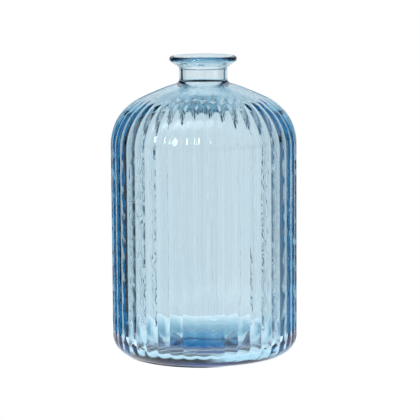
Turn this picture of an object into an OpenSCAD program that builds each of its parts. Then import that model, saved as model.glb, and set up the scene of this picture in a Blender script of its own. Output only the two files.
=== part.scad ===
// Bottle-shaped bud vase in blue moulded glass: a domed, vertically ribbed
// cylinder with a short narrow neck and a flared, rounded lip.
// Millimetres, +Z up. The origin is the centre of the foot, on the plane
// that the vase stands on. One piece of glass, held here as the zones of
// its mould, which meet face to face.

/* [Overall] */
// Height from the foot to the top of the lip
height = 193; // [185:0.5:202]
// Diameter over the crests of the ribs
body_d = 120; // [114:1:126]

/* [Ribs] */
// Number of convex vertical ribs round the body
rib_count = 43; // [38:1:48]
// Depth of the valley between two ribs
rib_depth = 0.9; // [0.4:0.1:1.1]
// Radius on the shoulder where the ribs run out
rib_tip_r = 39; // [38:0.5:40]
// Angle round the heel, below the wall, where the ribs run out
rib_heel_angle = 36; // [30:1:45]

/* [Shoulder] */
// Radius of the dome between the wall and the shoulder cone
shoulder_r = 33; // [31:0.5:34]
// Slope above the horizontal where the dome meets the upper shoulder
shoulder_slope = 26; // [24:0.5:28]
// Slope of the upper shoulder where it meets the neck
neck_slope = 18; // [16:0.5:20]

/* [Neck and lip] */
// Outside diameter of the neck
neck_d = 31; // [30:0.5:32]
// Diameter of the straight bore through the neck
bore_d = 26.5; // [24:0.5:27]
// Outside diameter of the lip
lip_d = 43.4; // [42:0.2:45]
// Radius of the rounded edge of the lip
lip_edge_r = 2; // [1.7:0.1:2.2]
// Slope of the underside of the lip's flare
flare_slope = 35; // [32:1:38]

/* [Glass] */
// Thickness of the wall and the shoulder
wall = 4; // [3:0.25:4.5]
// Thickness of the floor beside the heel
floor_t = 5; // [4.5:0.5:6.5]
// Rise of the floor at its centre
floor_crown = 8; // [6:0.5:8.5]
// Radius of the crown, where it rises from the dished rim
crown_r = 27.5; // [26:0.5:31]

/* [Foot] */
// Radius of the heel, where the wall turns into the foot
heel_r = 12.5; // [10:0.5:13.5]
// Inner radius of the flat ring that the vase stands on
foot_in_r = 38; // [34:1:42]
// Height of the hollow under the foot, at its centre
punt_h = 1; // [0.5:0.25:2]

/* [Hidden] */
$fn = 180;

body_r = body_d / 2;
neck_r = neck_d / 2;
bore_r = bore_d / 2;
rib_steps = 4;                       // points across one rib
ring_n = rib_count * rib_steps;      // points round one ring

// Shoulder: a dome arc, then a much larger arc, then a small fillet.
neck_fillet = 2.5;
fillet_z = height - 15.1;            // where the fillet meets the neck
fillet_cr = neck_r + neck_fillet;
fillet_foot_r = fillet_cr - neck_fillet * sin(neck_slope);
fillet_foot_z = fillet_z - neck_fillet * cos(neck_slope);
dome_cr = body_r - shoulder_r;
dome_sweep = 90 - shoulder_slope;
dome_end_r = dome_cr + shoulder_r * cos(dome_sweep);
upper_R = (dome_end_r - fillet_foot_r) / (sin(shoulder_slope) - sin(neck_slope));
upper_cr = dome_end_r - upper_R * sin(shoulder_slope);
upper_cz = fillet_foot_z - upper_R * cos(neck_slope);
// height at radius r of the upper shoulder, or of its inside with t = wall
function upper_z(r, t = 0) = upper_cz + sqrt(pow(upper_R - t, 2) - pow(r - upper_cr, 2));
dome_z = upper_z(dome_end_r) - shoulder_r * sin(dome_sweep);

// Lip: the flare leaves the neck in a small fillet and runs into the edge.
under_r = 2;
edge_cr = lip_d / 2 - lip_edge_r;
edge_cz = height - lip_edge_r;
flare_r = edge_cr + lip_edge_r * sin(flare_slope);
flare_z = edge_cz - lip_edge_r * cos(flare_slope);
lip_z = flare_z - (flare_r - neck_r) * tan(flare_slope) - under_r * tan(45 - flare_slope / 2);

// Mouth: a funnel inside the lip, rounded into the bore.
funnel_slope = 45;
mouth_r = 3;
funnel_top_r = edge_cr - lip_edge_r * sin(funnel_slope);
funnel_top_z = edge_cz + lip_edge_r * cos(funnel_slope);
funnel_foot_r = bore_r + mouth_r * (1 - sin(funnel_slope));
mouth_z = funnel_top_z - (funnel_top_r - funnel_foot_r) * tan(funnel_slope) - mouth_r * cos(funnel_slope);
collar_z = min(lip_z, mouth_z) - 1;  // where the lip zone meets the neck zone

collar_r = 20;                       // where the neck zone meets the shoulder zone
heel_cr = body_r - heel_r;
in_r = body_r - wall;
in_heel_r = 9.5;
plug_r = min((foot_in_r + heel_cr) / 2, in_r - in_heel_r - 0.5);  // where the base zone meets the heel zone
dish_rise = 2;                       // the floor rises this much from the heel to the crown
function dish_z(r) = floor_t + dish_rise * (in_r - in_heel_r - r) / (in_r - in_heel_r - crown_r);
seam_z = floor_t + in_heel_r;        // where the heel zone meets the wall zone

// Depth of a rib valley at a fraction u of its run-out: 0 at the tip,
// full from 1 on, with a smooth rise between.
function rise(u) = let (c = min(1, max(0, u))) c * c * (3 - 2 * c);

// One point of a ribbed ring. r and z lie on the crest line, (nr, nz) is
// the outward normal of the crest line, and d is the valley's depth.
function rib_point(i, r, z, nr, nz, d) =
    let (a = 360 * i / ring_n - 90 - 180 / rib_count,   // one crest faces -Y
         t = 2 * (i % rib_steps) / rib_steps - 1,
         e = d * t * t)
    [(r - e * nr) * cos(a), (r - e * nr) * sin(a), z - e * nz];
function ring(s) = [for (i = [0 : ring_n - 1]) rib_point(i, s[0], s[1], s[2], s[3], s[4])];

// A closed solid through a stack of rings, lowest first.
module ribbed_solid(stations) {
    m = len(stations);
    pts = [for (s = stations) each ring(s)];
    sides = [for (k = [0 : m - 2], i = [0 : ring_n - 1])
        let (a = k * ring_n + i, b = k * ring_n + (i + 1) % ring_n)
        each [[a, b + ring_n, b], [a, a + ring_n, b + ring_n]]];
    bottom = [for (i = [0 : ring_n - 1]) i];
    top = [for (i = [ring_n - 1 : -1 : 0]) (m - 1) * ring_n + i];
    polyhedron(points = pts, faces = concat(sides, [bottom, top]), convexity = 4);
}

// Points of an arc, for profiles.
function arc(cr, cz, r, a0, a1, n) =
    [for (i = [0 : n]) let (a = a0 + (a1 - a0) * i / n) [cr + r * cos(a), cz + r * sin(a)]];

// Stations of the shoulder: radius, height, normal, valley depth.
dome_stations = [for (i = [0 : 12]) let (a = dome_sweep * i / 12)
    [dome_cr + shoulder_r * cos(a), dome_z + shoulder_r * sin(a), cos(a), sin(a),
     rib_depth * rise((dome_cr + shoulder_r * cos(a) - rib_tip_r) / 10)]];
upper_stations = [for (f = [0.07, 0.16, 0.3, 0.48, 0.68, 0.86, 1])
    let (r = dome_end_r - f * (dome_end_r - collar_r + 1.5), n = asin((r - upper_cr) / upper_R))
    [r, upper_z(r), sin(n), cos(n), rib_depth * rise((r - rib_tip_r) / 10)]];

// Stations of the heel, lowest first.
heel_stations = [for (a = [90, 78, 66, 56, rib_heel_angle + 6, rib_heel_angle, 27, 20, 14, 7, 0])
    [heel_cr + heel_r * cos(a), heel_r - heel_r * sin(a), cos(a), -sin(a),
     rib_depth * rise((rib_heel_angle - a) / 24)]];

module lip() {
    color([0.56, 0.74, 0.86, 0.5])
    rotate_extrude()
    polygon(concat(
        [[bore_r, collar_z], [neck_r, collar_z]],
        arc(neck_r + under_r, lip_z, under_r, 180, 90 + flare_slope, 6),
        arc(edge_cr, edge_cz, lip_edge_r, flare_slope - 90, 90 + funnel_slope, 16),
        arc(bore_r + mouth_r, mouth_z, mouth_r, 90 + funnel_slope, 180, 6)));
}

module neck() {
    color([0.56, 0.74, 0.86, 0.5])
    rotate_extrude()
    polygon(concat(
        [for (i = [0 : 4]) let (r = bore_r + (collar_r - bore_r) * i / 4) [r, upper_z(r, wall)]],
        [for (i = [0 : 2]) let (r = collar_r + (fillet_foot_r - collar_r) * i / 3) [r, upper_z(r)]],
        arc(fillet_cr, fillet_z, neck_fillet, 270 - neck_slope, 180, 8),
        [[neck_r, collar_z], [bore_r, collar_z]]));
}

module shoulder() {
    inner_end = dome_cr + (shoulder_r - wall) * cos(dome_sweep);
    color([0.50, 0.70, 0.84, 0.5])
    difference() {
        ribbed_solid(concat(dome_stations, upper_stations));
        rotate_extrude()
        polygon(concat(
            [[0, dome_z - 1], [in_r, dome_z - 1]],
            arc(dome_cr, dome_z, shoulder_r - wall, 0, dome_sweep, 16),
            [for (i = [1 : 8]) let (r = inner_end + (collar_r - 3 - inner_end) * i / 8) [r, upper_z(r, wall)]],
            [[0, upper_z(collar_r - 3, wall)]]));
        translate([0, 0, dome_z]) cylinder(r = collar_r, h = height);
    }
}

module body_wall() {
    color([0.50, 0.70, 0.84, 0.5])
    translate([0, 0, seam_z])
    linear_extrude(height = dome_z - seam_z)
    difference() {
        polygon([for (p = ring([body_r, 0, 1, 0, rib_depth])) [p[0], p[1]]]);
        circle(r = in_r);
    }
}

module heel() {
    color([0.42, 0.64, 0.80, 0.55])
    difference() {
        ribbed_solid(concat(heel_stations, [[body_r, seam_z, 1, 0, rib_depth]]));
        rotate_extrude()
        polygon(concat(
            [[0, dish_z(plug_r - 3)], [plug_r - 3, dish_z(plug_r - 3)]],
            arc(in_r - in_heel_r, seam_z, in_heel_r, -90, 0, 8),
            [[in_r, seam_z + 1], [0, seam_z + 1]]));
        translate([0, 0, -1]) cylinder(r = plug_r, h = seam_z);
    }
}

module base() {
    // both dishes are shallow arcs through the centre line
    punt_R = (foot_in_r * foot_in_r + punt_h * punt_h) / (2 * punt_h);
    punt_a = asin(foot_in_r / punt_R);
    top_R = (crown_r * crown_r + floor_crown * floor_crown) / (2 * floor_crown);
    top_a = asin(crown_r / top_R);
    color([0.42, 0.64, 0.80, 0.55])
    rotate_extrude()
    polygon(concat(
        arc(0, punt_h - punt_R, punt_R, 90, 90 - punt_a, 8),
        [[plug_r, 0], [plug_r, dish_z(plug_r)]],
        arc(0, dish_z(crown_r) + floor_crown - top_R, top_R, 90 - top_a, 90, 10)));
}

lip();
neck();
shoulder();
body_wall();
heel();
base();
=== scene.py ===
import math
import bpy
import numpy as np
from mathutils import Matrix, Vector


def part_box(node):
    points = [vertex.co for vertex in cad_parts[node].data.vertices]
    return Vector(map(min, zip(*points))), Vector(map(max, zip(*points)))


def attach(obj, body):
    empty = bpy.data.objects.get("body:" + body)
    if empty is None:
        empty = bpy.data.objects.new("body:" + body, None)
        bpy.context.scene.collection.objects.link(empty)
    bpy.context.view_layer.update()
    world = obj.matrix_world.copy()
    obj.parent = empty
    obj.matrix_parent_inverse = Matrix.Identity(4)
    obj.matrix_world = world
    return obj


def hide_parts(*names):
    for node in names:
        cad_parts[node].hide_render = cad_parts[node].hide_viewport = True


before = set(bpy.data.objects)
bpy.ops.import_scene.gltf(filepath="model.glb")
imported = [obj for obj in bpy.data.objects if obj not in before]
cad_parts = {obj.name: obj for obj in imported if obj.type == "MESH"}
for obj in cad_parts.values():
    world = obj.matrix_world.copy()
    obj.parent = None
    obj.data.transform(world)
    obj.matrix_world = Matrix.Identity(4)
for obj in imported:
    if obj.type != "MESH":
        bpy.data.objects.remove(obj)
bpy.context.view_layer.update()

MM = 0.001
NODES = ["lip", "neck", "shoulder", "body_wall", "heel", "base"]

# ----------------------------------------------------------------------------
# Heights and radii of the zones, in millimetres, read off the CAD frame
# ----------------------------------------------------------------------------
lip_lo, lip_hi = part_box("lip")
neck_lo, neck_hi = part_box("neck")
sh_lo, sh_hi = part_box("shoulder")
wall_lo, wall_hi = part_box("body_wall")
H = lip_hi.z / MM                 # 193
R = 60.0                          # crest of the ribs
LIP_R = lip_hi.x / MM             # 21.7
LIP_Z = lip_lo.z / MM             # 184.5
COLLAR_R = neck_hi.x / MM         # 20
DOME_Z = sh_lo.z / MM             # 136.1
RIBS = 43
DEPTH = 0.9                       # valley below crest
SLOPE = math.radians(26.0)
NECK_SLOPE = math.radians(18.0)
DOME_R = 33.0
HEEL_R = 12.5
NECK_R = 15.5
BORE_R = 13.25
EDGE_R = 2.0
WALL = 4.0
FLOOR = 5.0                       # beside the heel; the floor is dished up to the crown
DISH = 2.0
CROWN_R = 27.5
CROWN = 8.0
IN_HEEL_R = 9.5
PITCH = 2 * math.pi / RIBS

# points across one rib, -1 at a valley and 0 on the crest, closer near the valley
RIB_T = np.array([-1.0, -0.90, -0.74, -0.50, -0.18, 0.18, 0.50, 0.74, 0.90])
PER = len(RIB_T)
COLS = RIBS * PER


def smooth(x):
    x = np.clip(x, 0.0, 1.0)
    return x * x * (3 - 2 * x)


def arc(cr, cz, r, a0, a1, n, ends=(True, True)):
    t = np.radians(np.linspace(a0, a1, n + 1))
    p = np.stack([cr + r * np.cos(t), cz + r * np.sin(t)], 1)
    return p[(0 if ends[0] else 1):(len(p) if ends[1] else -1)]


def line(p, q, n, ends=(False, False)):
    t = np.linspace(0, 1, n + 1)[:, None]
    o = np.array(p)[None, :] * (1 - t) + np.array(q)[None, :] * t
    return o[(0 if ends[0] else 1):(len(o) if ends[1] else -1)]


# ---- outer meridian, crest line, from the centre of the foot to the lip ----
NECK_FILLET = 2.5
fz = H - 15.1
fcr = NECK_R + NECK_FILLET
foot_r = fcr - NECK_FILLET * math.sin(NECK_SLOPE)
foot_z = fz - NECK_FILLET * math.cos(NECK_SLOPE)
dome_cr = R - DOME_R
dome_end_r = dome_cr + DOME_R * math.sin(SLOPE)
UP_R = (dome_end_r - foot_r) / (math.sin(SLOPE) - math.sin(NECK_SLOPE))
up_cr = dome_end_r - UP_R * math.sin(SLOPE)
up_cz = foot_z - UP_R * math.cos(NECK_SLOPE)


def upper_z(r, t=0.0):
    return up_cz + np.sqrt((UP_R - t) ** 2 - (np.asarray(r) - up_cr) ** 2)


dome_z = float(upper_z(dome_end_r)) - DOME_R * math.cos(SLOPE)
dome_sweep = 90 - math.degrees(SLOPE)
heel_cr = R - HEEL_R
punt_in = 38.0
punt_h = 1.0
punt_R = (punt_in ** 2 + punt_h ** 2) / (2 * punt_h)
punt_a = math.degrees(math.asin(punt_in / punt_R))
edge_cr = LIP_R - EDGE_R
edge_cz = H - EDGE_R
FLARE = math.radians(35)
UNDER_R = 2.0
flare_r = edge_cr + EDGE_R * math.sin(FLARE)
flare_z = edge_cz - EDGE_R * math.cos(FLARE)
under_z = flare_z - (flare_r - NECK_R) * math.tan(FLARE) - UNDER_R * math.tan(math.pi / 4 - FLARE / 2)


def radial(r0, r1, n, t=0.0, ends=(False, False)):
    r = np.linspace(r0, r1, n + 1)
    p = np.stack([r, upper_z(r, t)], 1)
    return p[(0 if ends[0] else 1):(len(p) if ends[1] else -1)]


outer = np.concatenate([
    arc(0, punt_h - punt_R, punt_R, 90 - 0.35, 90 - punt_a, 5),
    line((punt_in, 0), (heel_cr, 0), 15),
    arc(heel_cr, HEEL_R, HEEL_R, -90, 0, 16),
    line((R, HEEL_R), (R, dome_z), 10),
    arc(dome_cr, dome_z, DOME_R, 0, dome_sweep, 22),
    radial(dome_end_r, foot_r, 12),
    arc(fcr, fz, NECK_FILLET, 270 - math.degrees(NECK_SLOPE), 180, 5),
    line((NECK_R, fz), (NECK_R, under_z), 4),
    arc(NECK_R + UNDER_R, under_z, UNDER_R, 180, 90 + math.degrees(FLARE), 4),
    line((NECK_R + UNDER_R - UNDER_R * math.sin(FLARE), under_z + UNDER_R * math.cos(FLARE)), (flare_r, flare_z), 3),
    arc(edge_cr, edge_cz, EDGE_R, math.degrees(FLARE) - 90, 90, 10),
])

# ---- inner meridian, from the mouth down to the centre of the floor ----
in_r = R - WALL
inner_end = dome_cr + (DOME_R - WALL) * math.sin(SLOPE)
IN_FLARE = math.radians(45)
MOUTH_R = 3.0
flare_in = (edge_cr - EDGE_R * math.sin(IN_FLARE), edge_cz + EDGE_R * math.cos(IN_FLARE))
mouth_in = BORE_R + MOUTH_R * (1 - math.sin(IN_FLARE))
mouth_z = flare_in[1] - (flare_in[0] - mouth_in) * math.tan(IN_FLARE) - MOUTH_R * math.cos(IN_FLARE)


FOOT_R = 0.6                      # rounding where the bore opens into the shoulder
in_r_pts = np.linspace(BORE_R + FOOT_R, inner_end, 15)
in_up = np.stack([in_r_pts, upper_z(in_r_pts, WALL)], 1)
top_R = (CROWN_R ** 2 + CROWN ** 2) / (2 * CROWN)
top_a = math.degrees(math.asin(CROWN_R / top_R))
ceil0 = float(in_up[0, 1])
inner = np.concatenate([
    arc(edge_cr, edge_cz, EDGE_R, 90, 135, 5)[1:],
    line(flare_in, (mouth_in, mouth_z + MOUTH_R * math.cos(IN_FLARE)), 4),
    arc(BORE_R + MOUTH_R, mouth_z, MOUTH_R, 135, 180, 4),
    line((BORE_R, mouth_z), (BORE_R, ceil0 + FOOT_R), 7),
    arc(BORE_R + FOOT_R, ceil0 + FOOT_R, FOOT_R, 180, 253, 5),
    in_up[1:-1],
    arc(dome_cr, dome_z, DOME_R - WALL, dome_sweep, 0, 14),
    line((in_r, dome_z), (in_r, FLOOR + IN_HEEL_R), 66),
    arc(in_r - IN_HEEL_R, FLOOR + IN_HEEL_R, IN_HEEL_R, 0, -90, 9),
    line((in_r - IN_HEEL_R, FLOOR), (CROWN_R, FLOOR + DISH), 6),
    arc(0, FLOOR + DISH + CROWN - top_R, top_R, 90 - top_a, 90 - 0.35, 12),
])


def normals(p, sign):
    t = np.gradient(p, axis=0)
    n = np.stack([t[:, 1], -t[:, 0]], 1) * sign
    return n / np.linalg.norm(n, axis=1)[:, None]


n_out = normals(outer, 1.0)


# ---- ribs ----
theta = np.concatenate([(-math.pi / 2 + PITCH * k) + RIB_T * PITCH / 2 for k in range(RIBS)])
T = np.tile(RIB_T, RIBS)


def rib_fall(t):
    """Drop below the crest across a rib, as a share of its depth: a round reed with a small fillet in the valley."""
    t = np.abs(t)
    soft = 0.05
    return t * t - np.where(t > 1 - 4 * soft, 0.0, 0.0) - 0.06 * smooth((t - 0.86) / 0.14)


FALL = rib_fall(T)


def rib_amount(p, n):
    """How much of the rib depth a meridian point carries: it fades on the shoulder and round the heel."""
    r, z = p
    if z > dome_z:
        return float(smooth((r - 39.0) / 10.0))
    if z < HEEL_R:
        a = math.degrees(math.atan2(HEEL_R - z, max(r - heel_cr, 1e-6)))
        return float(smooth((36.0 - a) / 24.0))
    return 1.0


rng = np.random.default_rng(7)
foot_bumps = rng.uniform(0.0, 1.0, (64, COLS))
for _ in range(2):
    foot_bumps = (foot_bumps + np.roll(foot_bumps, 1, 1)) / 2
foot_bumps = np.clip((foot_bumps - foot_bumps.min()) / np.ptp(foot_bumps) * 1.4 - 0.2, 0, 1)

verts = []
ring_no = 0
for p, n in zip(outer, n_out):
    amt = rib_amount(p, n) if p[1] < 172 else 0.0
    if p[0] < heel_cr - 0.5 and p[1] < 5:
        amt = 0.0
    e = DEPTH * amt * FALL
    r = p[0] - e * n[0]
    z = p[1] - e * n[1]
    if p[1] < 1.2 and 37.9 < p[0] < 52:
        z = z + 0.35 * foot_bumps[ring_no] * float(smooth((p[0] - 37.9) / 1.5) * smooth((52 - p[0]) / 4.0))
        ring_no += 1
    verts.append(np.stack([r * np.cos(theta), r * np.sin(theta), np.broadcast_to(z, theta.shape)], 1))

# ---- the inside is blown, not moulded: its surface is slightly uneven ----
def waves(n, m, lz, rng):
    """A set of n waves: whole periods round the vase, length up the wall in mm, phase, weight."""
    return [(int(rng.integers(m[0], m[1])), rng.choice([-1, 1]) * 2 * math.pi / rng.uniform(lz[0], lz[1]),
             rng.uniform(0, 2 * math.pi), rng.uniform(0.5, 1.0)) for _ in range(n)]


wr = np.random.default_rng(21)
FINE = waves(26, (24, 78), (5.0, 20.0), wr)
SLOW = waves(8, (2, 12), (50.0, 140.0), wr)


front = np.abs(np.degrees(np.arctan2(np.sin(theta + math.pi / 2), np.cos(theta + math.pi / 2))))
calm = 0.1 + 0.9 * smooth((front - 26.0) / 12.0)      # the front face is smoother


FLUTE = np.random.default_rng(5).normal(0.0, 1.0, COLS)   # fine lines drawn up the inside
FLUTE_A = 0.035


def uneven(z):
    a = sum(w * np.sin(m * theta + q * z + f) for m, q, f, w in FINE) / math.sqrt(len(FINE))
    b = sum(w * np.sin(m * theta + q * z + f) for m, q, f, w in SLOW) / math.sqrt(len(SLOW))
    return float(smooth((z - 17.0) / 8.0)) * (FINE_A * calm * float(smooth((142.0 - z) / 14.0)) * a + SLOW_A * float(smooth((160.0 - z) / 30.0)) * b + FLUTE_A * float(smooth((134.0 - z) / 10.0)) * FLUTE)


FINE_A = 0.12
SLOW_A = 0.18
n_in = normals(inner, 1.0)
for p, n in zip(inner, n_in):
    e = uneven(p[1]) if p[1] < 160 and p[0] > CROWN_R else np.zeros_like(theta)
    r = p[0] + e * n[0]
    verts.append(np.stack([r * np.cos(theta), r * np.sin(theta), p[1] + e * n[1]], 1))
rings = len(verts)
V = np.concatenate(verts) * MM
V = np.concatenate([V, [[0, 0, punt_h * MM]], [[0, 0, (FLOOR + DISH + CROWN) * MM]]])
i = np.arange(rings - 1)[:, None] * COLS
j = np.arange(COLS)[None, :]
jn = (j + 1) % COLS
quads = np.stack([i + j, i + jn, i + COLS + jn, i + COLS + j], -1).reshape(-1, 4)
faces = quads.tolist()
a0 = rings * COLS
for k in range(COLS):
    faces.append([a0, (k + 1) % COLS, k])
    b = (rings - 1) * COLS
    faces.append([a0 + 1, b + k, b + (k + 1) % COLS])
me = bpy.data.meshes.new("vase_glass")
me.from_pydata(V.tolist(), [], faces)
me.validate()
me.polygons.foreach_set("use_smooth", [True] * len(me.polygons))
me.update()
vase = bpy.data.objects.new("vase_glass", me)
bpy.context.scene.collection.objects.link(vase)


# ---- material ----
glass = bpy.data.materials.new("blue_glass")
glass.use_nodes = True
nt = glass.node_tree
bsdf = nt.nodes["Principled BSDF"]
bsdf.inputs["Base Color"].default_value = (1, 1, 1, 1)
bsdf.inputs["Roughness"].default_value = 0.0
bsdf.inputs["IOR"].default_value = 1.5
bsdf.inputs["Transmission Weight"].default_value = 1.0
vol = nt.nodes.new("ShaderNodeVolumeAbsorption")
vol.inputs["Color"].default_value = (0.157, 0.65, 0.85, 1)
vol.inputs["Density"].default_value = 70.0
nt.links.new(vol.outputs[0], nt.nodes["Material Output"].inputs["Volume"])

# fine streaks and ripples in the surface of the glass
tc = nt.nodes.new("ShaderNodeTexCoord")


def ripple(scale, stretch, detail):
    mp = nt.nodes.new("ShaderNodeMapping")
    mp.inputs["Scale"].default_value = (1.0, 1.0, stretch)
    nt.links.new(tc.outputs["Object"], mp.inputs["Vector"])
    no = nt.nodes.new("ShaderNodeTexNoise")
    no.inputs["Scale"].default_value = scale
    no.inputs["Detail"].default_value = detail
    nt.links.new(mp.outputs[0], no.inputs["Vector"])
    return no.outputs["Fac"]


def bump(height, dist, prev=None):
    b = nt.nodes.new("ShaderNodeBump")
    b.inputs["Distance"].default_value = dist
    b.inputs["Strength"].default_value = 1.0
    nt.links.new(height, b.inputs["Height"])
    if prev is not None:
        nt.links.new(prev, b.inputs["Normal"])
    return b.outputs[0]


streaks = bump(ripple(420.0, 0.05, 1.0), 0.00005)
grain = bump(ripple(210.0, 0.6, 2.0), 0.00003, streaks)
nt.links.new(grain, bsdf.inputs["Normal"])
me.materials.append(glass)
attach(vase, "root")
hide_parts(*NODES)

# ---- camera ----
def place_camera(dh, hc, pitch, f, roll, cx, turn):
    cam = bpy.data.cameras.new("camera")
    cam.sensor_width = 36.0
    cam.sensor_fit = "HORIZONTAL"
    cam.lens = f / 420.0 * 36.0
    cam.clip_start = 0.01
    cam.clip_end = 20.0
    ob = bpy.data.objects.new("camera", cam)
    bpy.context.scene.collection.objects.link(ob)
    rt = Vector((1, 0, 0))
    fw = Vector((0, math.cos(pitch), -math.sin(pitch)))
    up = Vector((0, math.sin(pitch), math.cos(pitch)))
    F = (fw * f - rt * cx).normalized()
    X0 = (rt - F * rt.dot(F)).normalized()
    Y0 = X0.cross(F)
    c, s = math.cos(roll), math.sin(roll)
    X = X0 * c - Y0 * s
    Y = X0 * s + Y0 * c
    m = Matrix((X, Y, -F)).transposed().to_4x4()
    m.translation = Vector((0, -dh, hc)) * MM
    ob.matrix_world = Matrix.Rotation(turn, 4, "Z") @ m
    bpy.context.scene.camera = ob
    return ob


camera = place_camera(1428.6, 298.22, math.radians(8.171), 2231.0, math.radians(0.405), -5.86, math.radians(0.75))

# ---- studio: a white backdrop behind, dark flags at the sides, a dark ceiling ----
world = bpy.data.worlds.new("studio")
bpy.context.scene.world = world
world.use_nodes = True
wn = world.node_tree
bg = wn.nodes["Background"]
wtc = wn.nodes.new("ShaderNodeTexCoord")
wsp = wn.nodes.new("ShaderNodeSeparateXYZ")
wn.links.new(wtc.outputs["Generated"], wsp.inputs[0])


def wmath(op, *args):
    n = wn.nodes.new("ShaderNodeMath")
    n.operation = op
    for k, v in enumerate(args):
        if isinstance(v, (int, float)):
            n.inputs[k].default_value = v
        else:
            wn.links.new(v, n.inputs[k])
    return n.outputs[0]


def wramp(val, stops, scale):
    """A piecewise-linear profile: stops are (degrees, brightness or colour)."""
    n = wn.nodes.new("ShaderNodeValToRGB")
    n.color_ramp.interpolation = "LINEAR"
    el = n.color_ramp.elements
    pts = [(0.5 + d / scale, (v if isinstance(v, tuple) else (v, v, v)) + (1,)) for d, v in stops]
    el[0].position, el[0].color = pts[0]
    el[1].position, el[1].color = pts[-1]
    for q, c in pts[1:-1]:
        el.new(q).color = c
    wn.links.new(val, n.inputs[0])
    return n.outputs[0]


wx, wy, wz = wsp.outputs
az = wmath("MULTIPLY_ADD", wmath("ARCTAN2", wx, wy), 1 / (2 * math.pi), 0.5)     # 0.5 is behind the vase, towards +Y
ele = wmath("MULTIPLY_ADD", wmath("ARCSINE", wz), 1 / math.pi, 0.5)
AZ = [(-180, 0.10), (-130, 0.10), (-122, 0.6), (-92, 0.6), (-86, (0.012, 0.022, 0.035)), (-36, (0.012, 0.022, 0.035)), (-32, 0.84), (-27, 0.94),
      (-23, 0.84), (-19, 0.98), (-15, 0.84), (-11, 1.0), (-7, 0.85), (-3, 1.0), (1, 0.90), (5, 1.0), (9, 0.83), (13, 1.0),
      (17, 0.85), (22, 0.98), (27, 0.84), (34, 0.90), (38, (0.11, 0.17, 0.24)), (84, (0.15, 0.22, 0.32)), (90, 0.70), (162, 0.60), (168, 0.10), (180, 0.10)]
GAP = (0.12, 0.36, 0.50)
GAP_SIDE = (0.003, 0.03, 0.07)
EL = [(-90, 1.0), (0, 1.0), (2.5, GAP), (7.0, GAP), (9.0, 1.0), (50, 0.95), (60, 0.05), (90, 0.05)]
EL_SIDE = [(-90, 1.0), (0, 1.0), (1.5, GAP_SIDE), (8, GAP_SIDE), (10.5, 1.0), (50, 0.95), (60, 0.05), (90, 0.05)]
LOW = [(-90, 1.0), (-20, 1.0), (-15, 0.0), (90, 0.0)]
OFF = [(-180, 1.0), (-11, 1.0), (-6, 0.0), (6, 0.0), (11, 1.0), (180, 1.0)]


def wvec(op, a, b):
    n = wn.nodes.new("ShaderNodeVectorMath")
    n.operation = op
    wn.links.new(a, n.inputs[0])
    wn.links.new(b, n.inputs[1])
    return n.outputs[0]


wmix = wn.nodes.new("ShaderNodeMixRGB")
wn.links.new(wramp(az, OFF, 360.0), wmix.inputs["Fac"])
wn.links.new(wramp(ele, EL, 180.0), wmix.inputs["Color1"])
wn.links.new(wramp(ele, EL_SIDE, 180.0), wmix.inputs["Color2"])
low = wn.nodes.new("ShaderNodeMixRGB")               # the flags stand above the table's level
wn.links.new(wramp(ele, LOW, 180.0), low.inputs["Fac"])
wn.links.new(wramp(az, AZ, 360.0), low.inputs["Color1"])
low.inputs["Color2"].default_value = (0.92, 0.92, 0.92, 1)
sky = wvec("MULTIPLY", low.outputs[0], wmix.outputs[0])
lp = wn.nodes.new("ShaderNodeLightPath")
wn.links.new(wvec("MAXIMUM", sky, lp.outputs["Is Camera Ray"]), bg.inputs[0])
bg.inputs[1].default_value = 1.0

# ---- floor ----
FLOOR_R = 0.12
SHADE_DIR = (-0.68, -0.73)
SHADE_R = (0.039, 0.0515)
SHADE = 1.0
BACK = 0.45
fm = bpy.data.meshes.new("floor")
N = 96
fv = [(0, 0, -0.0002)] + [(FLOOR_R * math.cos(2 * math.pi * k / N), FLOOR_R * math.sin(2 * math.pi * k / N), -0.0002) for k in range(N)]
fm.from_pydata(fv, [], [(0, 1 + k, 1 + (k + 1) % N) for k in range(N)])
floor = bpy.data.objects.new("floor", fm)
bpy.context.scene.collection.objects.link(floor)
fmat = bpy.data.materials.new("pale_floor")
fmat.use_nodes = True
fb = fmat.node_tree.nodes["Principled BSDF"]
fb.inputs["Base Color"].default_value = (0.9, 0.9, 0.9, 1)
fb.inputs["Roughness"].default_value = 0.9
fb.inputs["Specular IOR Level"].default_value = 0.0
fb.inputs["Emission Color"].default_value = (1, 1, 1, 1)
fn = fmat.node_tree
ftc = fn.nodes.new("ShaderNodeTexCoord")
# painted shade: the floor's glow is 0.68 under the middle of the foot and rises to 0.88 beyond 30 mm from a point 3
# mm left of the centre
flen = fn.nodes.new("ShaderNodeVectorMath")
flen.operation = "DISTANCE"
flen.inputs[1].default_value = (-0.003, -0.001, 0)
fn.links.new(ftc.outputs["Object"], flen.inputs[0])
floor_glow_shade = fn.nodes.new("ShaderNodeMapRange")
floor_glow_shade.interpolation_type = "SMOOTHSTEP"
floor_glow_shade.inputs["From Min"].default_value = 0.020
floor_glow_shade.inputs["From Max"].default_value = 0.030
floor_glow_shade.inputs["To Min"].default_value = 0.68
floor_glow_shade.inputs["To Max"].default_value = 0.88
fn.links.new(flen.outputs["Value"], floor_glow_shade.inputs["Value"])


def fmath(op, *args):
    n = fn.nodes.new("ShaderNodeMath")
    n.operation = op
    n.use_clamp = op == "MULTIPLY_ADD"
    for k, v in enumerate(args):
        if isinstance(v, (int, float)):
            n.inputs[k].default_value = v
        else:
            fn.links.new(v, n.inputs[k])
    return n.outputs[0]


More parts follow.
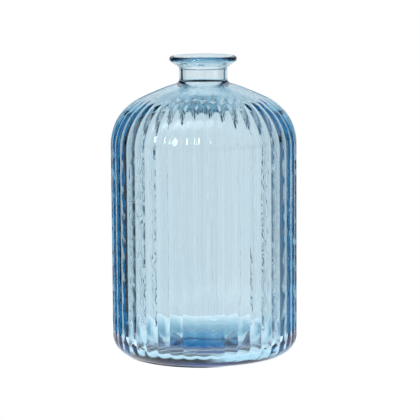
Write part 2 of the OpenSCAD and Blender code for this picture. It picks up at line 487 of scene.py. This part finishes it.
# contact shade: an arc under the left front of the foot
fsp = fn.nodes.new("ShaderNodeSeparateXYZ")
fn.links.new(ftc.outputs["Object"], fsp.inputs[0])
fx, fy, _ = fsp.outputs
rad = fmath("SQRT", fmath("ADD", fmath("MULTIPLY", fx, fx), fmath("MULTIPLY", fy, fy)))
side = fmath("DIVIDE", fmath("ADD", fmath("MULTIPLY", fx, SHADE_DIR[0]), fmath("MULTIPLY", fy, SHADE_DIR[1])), rad)
arc_in = fmath("MULTIPLY_ADD", rad, 1 / 0.003, -SHADE_R[0] / 0.003)
arc_out = fmath("MULTIPLY_ADD", rad, -1 / 0.002, SHADE_R[1] / 0.002)
sector = fmath("MULTIPLY_ADD", side, 4.0, -4.0 * 0.48)
shade = fmath("MULTIPLY", fmath("MULTIPLY", arc_in, arc_out), sector)
# and a soft shade on the floor just behind the foot
back = fmath("MULTIPLY", fmath("MULTIPLY_ADD", fy, -1 / 0.065, 0.115 / 0.065), fmath("MULTIPLY_ADD", fy, 1 / 0.02, -0.02 / 0.02))
back = fmath("MULTIPLY", back, fmath("MULTIPLY_ADD", fmath("ABSOLUTE", fx), -1 / 0.02, 0.05 / 0.02))
keep = fmath("MULTIPLY", fmath("MULTIPLY_ADD", shade, -SHADE, 1.0), fmath("MULTIPLY_ADD", back, -BACK, 1.0))
fn.links.new(fmath("MULTIPLY", floor_glow_shade.outputs["Result"], keep), fb.inputs["Emission Strength"])
ftint = fn.nodes.new("ShaderNodeMixRGB")              # the shade of blue glass is blue
fn.links.new(back, ftint.inputs["Fac"])
ftint.inputs["Color1"].default_value = (1, 1, 1, 1)
ftint.inputs["Color2"].default_value = (0.38, 0.80, 1.0, 1)
fn.links.new(ftint.outputs[0], fb.inputs["Emission Color"])
# the same painted shades (the glow drop under the foot, the arc and the patch behind the foot) also darken the
# floor's base colour
fcol = fn.nodes.new("ShaderNodeCombineXYZ")
shaded_floor_tone = fmath("MULTIPLY", keep, 0.9)
for k in range(3):
    fn.links.new(shaded_floor_tone, fcol.inputs[k])
fn.links.new(fcol.outputs[0], fb.inputs["Base Color"])
fm.materials.append(fmat)


# ---- softboxes ----
def softbox(name, azd, eld, dist, w, h, radiance):
    a, e = math.radians(azd), math.radians(eld)
    d = Vector((math.sin(a) * math.cos(e), math.cos(a) * math.cos(e), math.sin(e)))
    li = bpy.data.lights.new(name, "AREA")
    li.shape = "RECTANGLE"
    li.size = 2 * dist * math.tan(math.radians(w / 2))
    li.size_y = 2 * dist * math.tan(math.radians(h / 2))
    li.energy = radiance * math.pi * li.size * li.size_y
    ob = bpy.data.objects.new(name, li)
    bpy.context.scene.collection.objects.link(ob)
    ob.location = Vector((0, 0, 0.14)) + d * dist
    ob.rotation_euler = (-d).to_track_quat("-Z", "Z").to_euler()
    return ob


softbox("key", -150, 21, 1.6, 9, 13, 14.0)
softbox("window", -149, 60, 1.6, 36, 18, 1.8)
softbox("overhead", -118, 52, 1.5, 34, 14, 1.6)

sc = bpy.context.scene
sc.view_settings.view_transform = "Standard"
sc.cycles.max_bounces = 24
sc.cycles.transmission_bounces = 24
sc.cycles.glossy_bounces = 12
